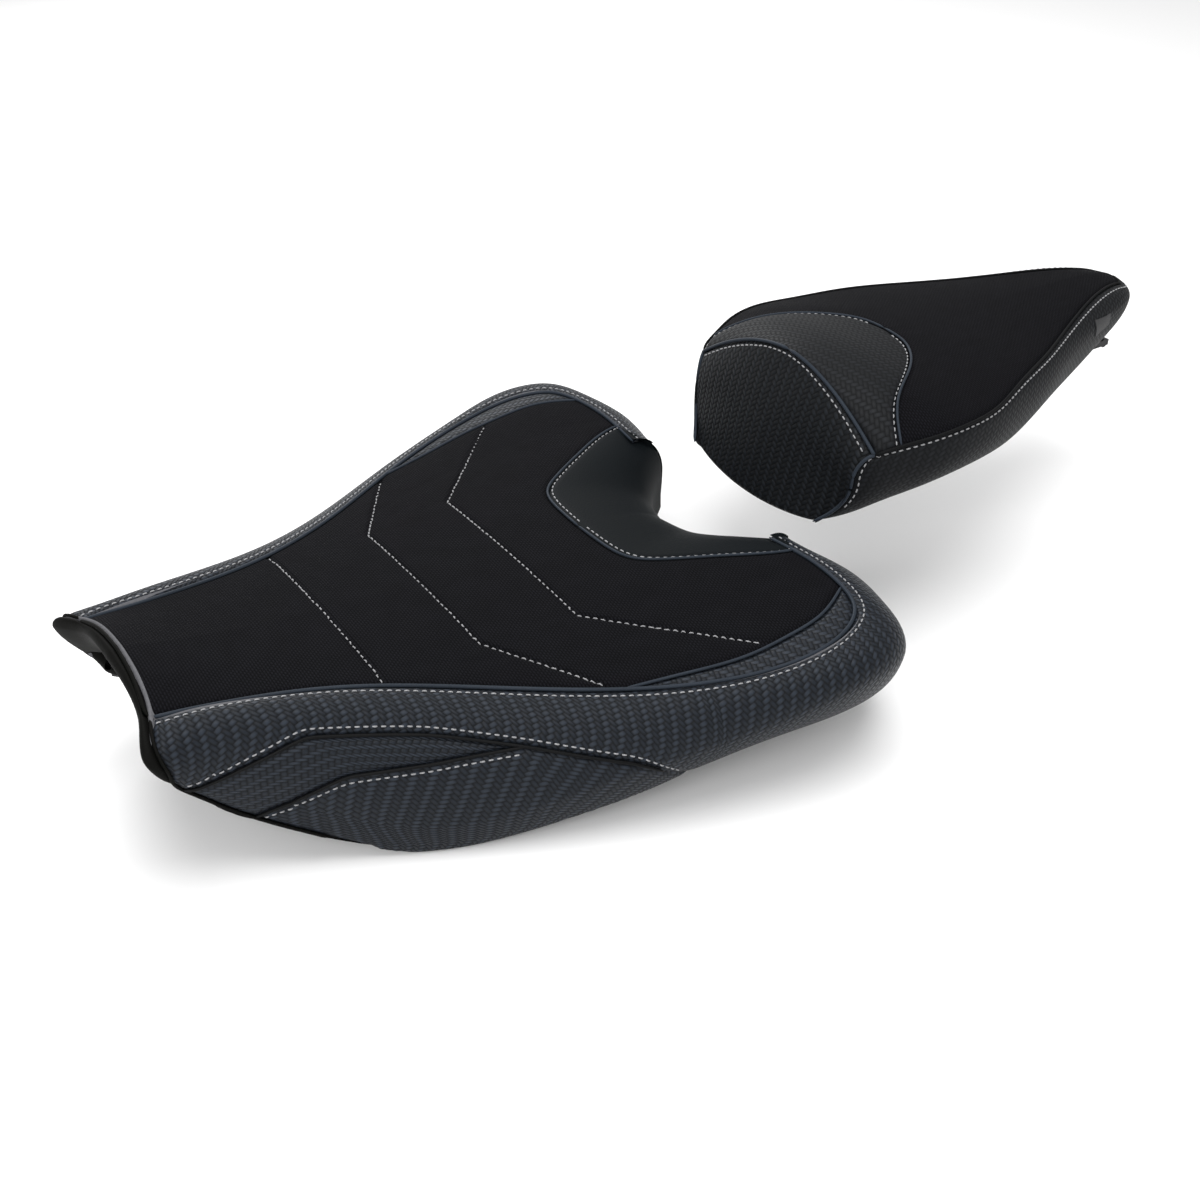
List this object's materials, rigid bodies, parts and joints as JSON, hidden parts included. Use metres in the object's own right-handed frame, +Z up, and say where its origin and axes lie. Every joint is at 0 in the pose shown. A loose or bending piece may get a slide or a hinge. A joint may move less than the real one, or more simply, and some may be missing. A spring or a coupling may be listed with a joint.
{
  "type": "motorcycle seat",
  "caption": "Two-piece sport motorcycle seat: a low rider seat with a rear notch and a raised wedge-shaped passenger seat, stitched covers over foam and moulded pans.",
  "frame": {"origin": "midway between the rider seat's two rear bolt holes, on the underside of their steel tabs", "axes": "+X forward along the motorcycle, +Y to the rider's left, +Z up"},
  "size_m": [0.716, 0.3578, 0.1597],
  "materials": {
    "pan_plastic": "moulded black polypropylene, light grain",
    "foam": "moulded polyurethane foam, closed skin",
    "ribbed_fabric": "black grip fabric with fine woven ribs",
    "twill_vinyl": "seat vinyl embossed with a carbon-like twill",
    "smooth_vinyl": "fine-grained smooth seat vinyl",
    "zinc_steel": "zinc-plated pressed steel",
    "rivet_alloy": "plain rivet heads",
    "staple_steel": "bright staple wire",
    "rubber": "moulded black rubber",
    "label_cloth": "blank woven label"
  },
  "bodies": {
    "rider_seat": {"rider_band_left": "twill_vinyl", "rider_band_right": "twill_vinyl", "rider_base_pan": "pan_plastic", "rider_bolt_tab_left": "zinc_steel", "rider_bolt_tab_right": "zinc_steel", "rider_cover_staples": "staple_steel", "rider_foam_pad": "foam", "rider_front_strip": "smooth_vinyl", "rider_hip_crescent_left": "twill_vinyl", "rider_hip_crescent_right": "smooth_vinyl", "rider_notch_panel": "smooth_vinyl", "rider_rivets": "rivet_alloy", "rider_rubber_bumpers": "rubber", "rider_skirt_left": "twill_vinyl", "rider_skirt_right": "twill_vinyl", "rider_tongue": "zinc_steel", "rider_top_panel": "ribbed_fabric", "rider_wedge_left": "twill_vinyl", "rider_wedge_right": "twill_vinyl"},
    "passenger_seat": {"passenger_base_pan": "pan_plastic", "passenger_blank_label": "label_cloth", "passenger_cover_staples": "staple_steel", "passenger_foam_pad": "foam", "passenger_front_panel": "twill_vinyl", "passenger_hook_left": "zinc_steel", "passenger_hook_right": "zinc_steel", "passenger_hook_screws": "zinc_steel", "passenger_lock_striker": "zinc_steel", "passenger_plate_screws": "zinc_steel", "passenger_rubber_bumpers": "rubber", "passenger_saddle_band": "twill_vinyl", "passenger_side_panel_left": "twill_vinyl", "passenger_side_panel_right": "twill_vinyl", "passenger_striker_plate": "zinc_steel", "passenger_top_panel": "ribbed_fabric"}
  },
  "joints": [
    {"name": "passenger_seat_lift", "type": "hinge", "parent": "rider_seat", "child": "passenger_seat", "pos_m": [-0.318, 0, 0.078], "axis": [0, -1, 0], "range_deg": [0, 35]}
  ]
}
